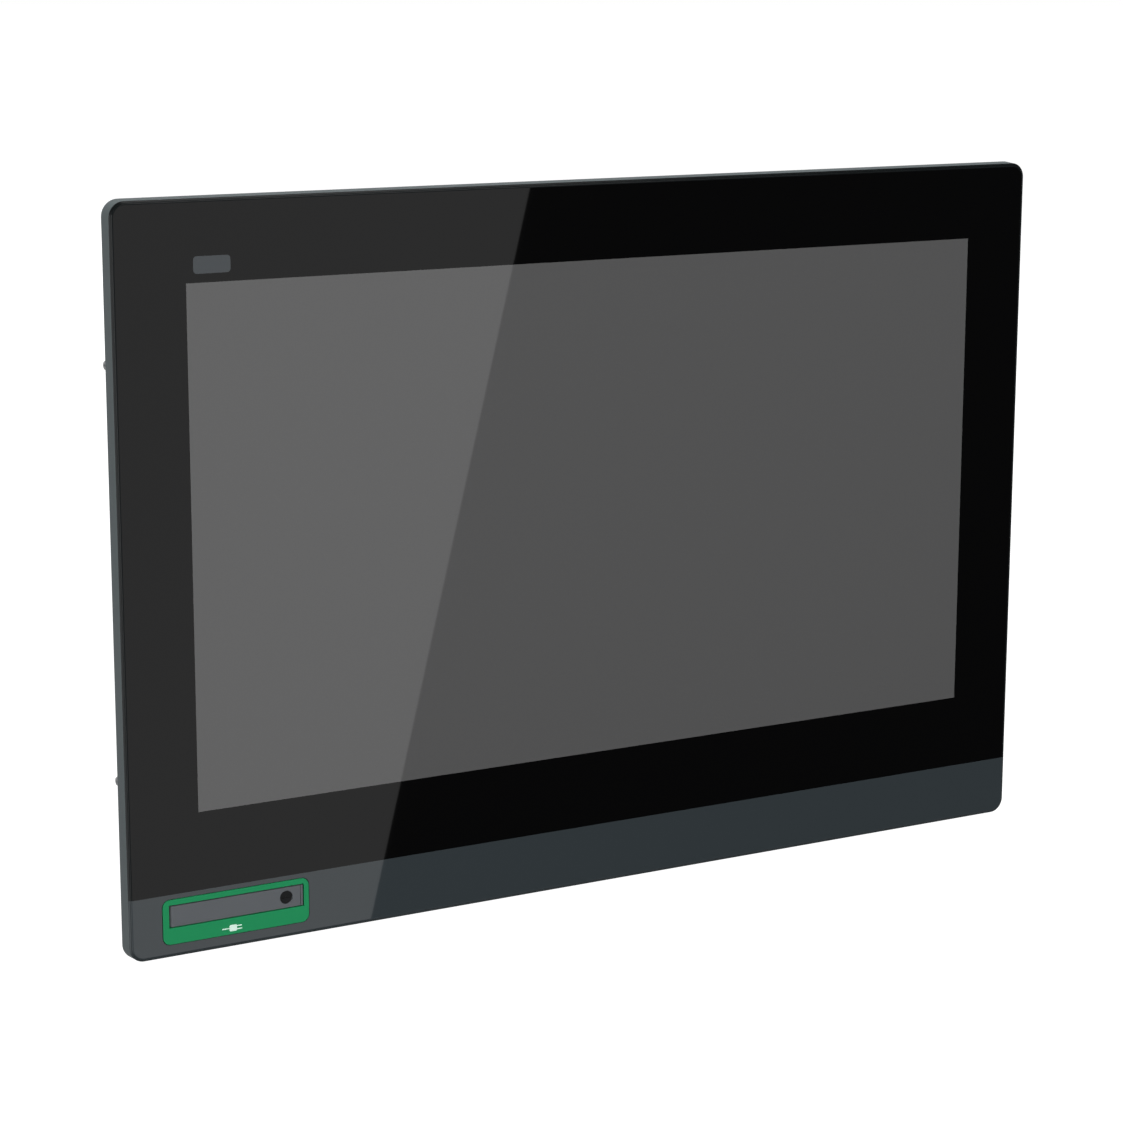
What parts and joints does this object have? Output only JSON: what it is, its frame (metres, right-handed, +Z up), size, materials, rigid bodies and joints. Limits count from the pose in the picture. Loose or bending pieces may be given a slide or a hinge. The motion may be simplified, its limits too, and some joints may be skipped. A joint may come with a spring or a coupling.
{
  "type": "industrial touch panel",
  "caption": "Wide-screen flush-mount operator touch panel: bevelled glass front with a slate lower band, green front USB port with a hinged door, and a rear chassis with an electronics box.",
  "frame": {"origin": "middle of the front frame, in the plane of the gasket's rear face, where it meets the panel that the part is fitted to", "axes": "+Z up, +X to the right as the screen is read, +Y back into the cabinet; the screen faces -Y"},
  "size_m": [0.5548, 0.0658, 0.3844],
  "materials": {
    "frame_paint": "satin slate powder coat on die-cast aluminium",
    "cover_glass": "polished, bevelled edge",
    "black_tape": "black acrylic foam tape",
    "black_print": "black print with a slate band along the bottom",
    "clear_film": "clear laminated sensor",
    "flex_film": "amber flexible circuit",
    "circuit_board": "green solder mask",
    "brass": "turned",
    "plated_steel": "zinc-plated sheet",
    "display_face": "anti-glare polariser, unlit",
    "white_film": "white diffuser",
    "clear_acrylic": "moulded acrylic",
    "lamp_strip": "white lamp strip",
    "screw_steel": "bright zinc",
    "black_rubber": "moulded",
    "green_plastic": "satin moulding",
    "grey_plastic": "fine moulded texture",
    "black_steel": "black oxide",
    "socket_steel": "tinned",
    "black_plastic": "moulded",
    "flat_cable": "folded flat cable",
    "chassis_sheet": "zinc-plated sheet",
    "pad_rubber": "soft silicone",
    "bare_aluminium": "extruded",
    "terminal_plastic": "moulded",
    "lamp_green": "clear light pipe",
    "red_plastic": "moulded"
  },
  "bodies": {
    "panel": {"front_frame": "frame_paint", "cover_glass": "cover_glass", "glass_tape": "black_tape", "decor_film": "black_print", "touch_sensor": "clear_film", "sensor_tail": "flex_film", "touch_board": "circuit_board", "touch_board_spacers": "brass", "display_tape": "black_tape", "display_front_frame": "plated_steel", "display_cell": "display_face", "diffuser_sheets": "white_film", "light_guide": "clear_acrylic", "led_strip": "lamp_strip", "display_back_pan": "plated_steel", "display_board": "circuit_board", "display_brackets": "plated_steel", "bracket_screws": "screw_steel", "panel_gasket": "black_rubber", "usb_surround": "green_plastic", "door_hinge_pin": "screw_steel", "door_screw_insert": "brass", "usb_board": "circuit_board", "usb_board_posts": "brass", "usb_board_screws": "screw_steel", "port_shells": "socket_steel", "port_tongues": "black_plastic", "usb_lead": "flat_cable", "rear_chassis": "chassis_sheet", "chassis_screws": "screw_steel", "ground_screw": "brass", "box_tray": "chassis_sheet", "tray_screws": "screw_steel", "box_lid": "chassis_sheet", "lid_screws": "screw_steel", "main_board": "circuit_board", "board_standoffs": "brass", "board_screws": "screw_steel", "board_chips": "black_plastic", "thermal_pad": "pad_rubber", "heat_sink": "bare_aluminium", "battery_holder": "black_plastic", "backup_battery": "socket_steel", "power_header": "terminal_plastic", "power_plug": "terminal_plastic", "ethernet_sockets": "socket_steel", "rear_usb_sockets": "socket_steel", "serial_socket": "socket_steel", "serial_insulator": "black_plastic", "status_lamps": "lamp_green", "card_socket": "socket_steel", "card_frame": "black_plastic", "card_door_pin": "screw_steel", "display_ribbon": "flat_cable"},
    "usb_door": {"usb_door": "grey_plastic", "door_seal": "black_rubber"},
    "door_screw": {"door_screw": "black_steel", "door_screw_clip": "screw_steel"},
    "card_door": {"card_door": "black_plastic"},
    "reset_button": {"reset_button": "red_plastic"}
  },
  "joints": [
    {"name": "usb_door_hinge", "type": "hinge", "parent": "panel", "child": "usb_door", "pos_m": [-0.2529, -0.0085, -0.1702], "axis": [0, 0, -1], "range_deg": [0, 95]},
    {"name": "door_screw_turn", "type": "hinge", "parent": "usb_door", "child": "door_screw", "pos_m": [-0.1904, -0.0091, -0.17005], "axis": [0, -1, 0], "range_deg": [0, 720]},
    {"name": "card_door_hinge", "type": "hinge", "parent": "panel", "child": "card_door", "pos_m": [0.1521, 0.0331, -0.06], "axis": [0, 0, -1], "range_deg": [0, 95]},
    {"name": "reset_button_press", "type": "slide", "parent": "panel", "child": "reset_button", "axis": [-1, 0, 0], "range_m": [0, 0.0005], "stiffness_N_per_m": 600, "springref_m": -0.0005}
  ]
}
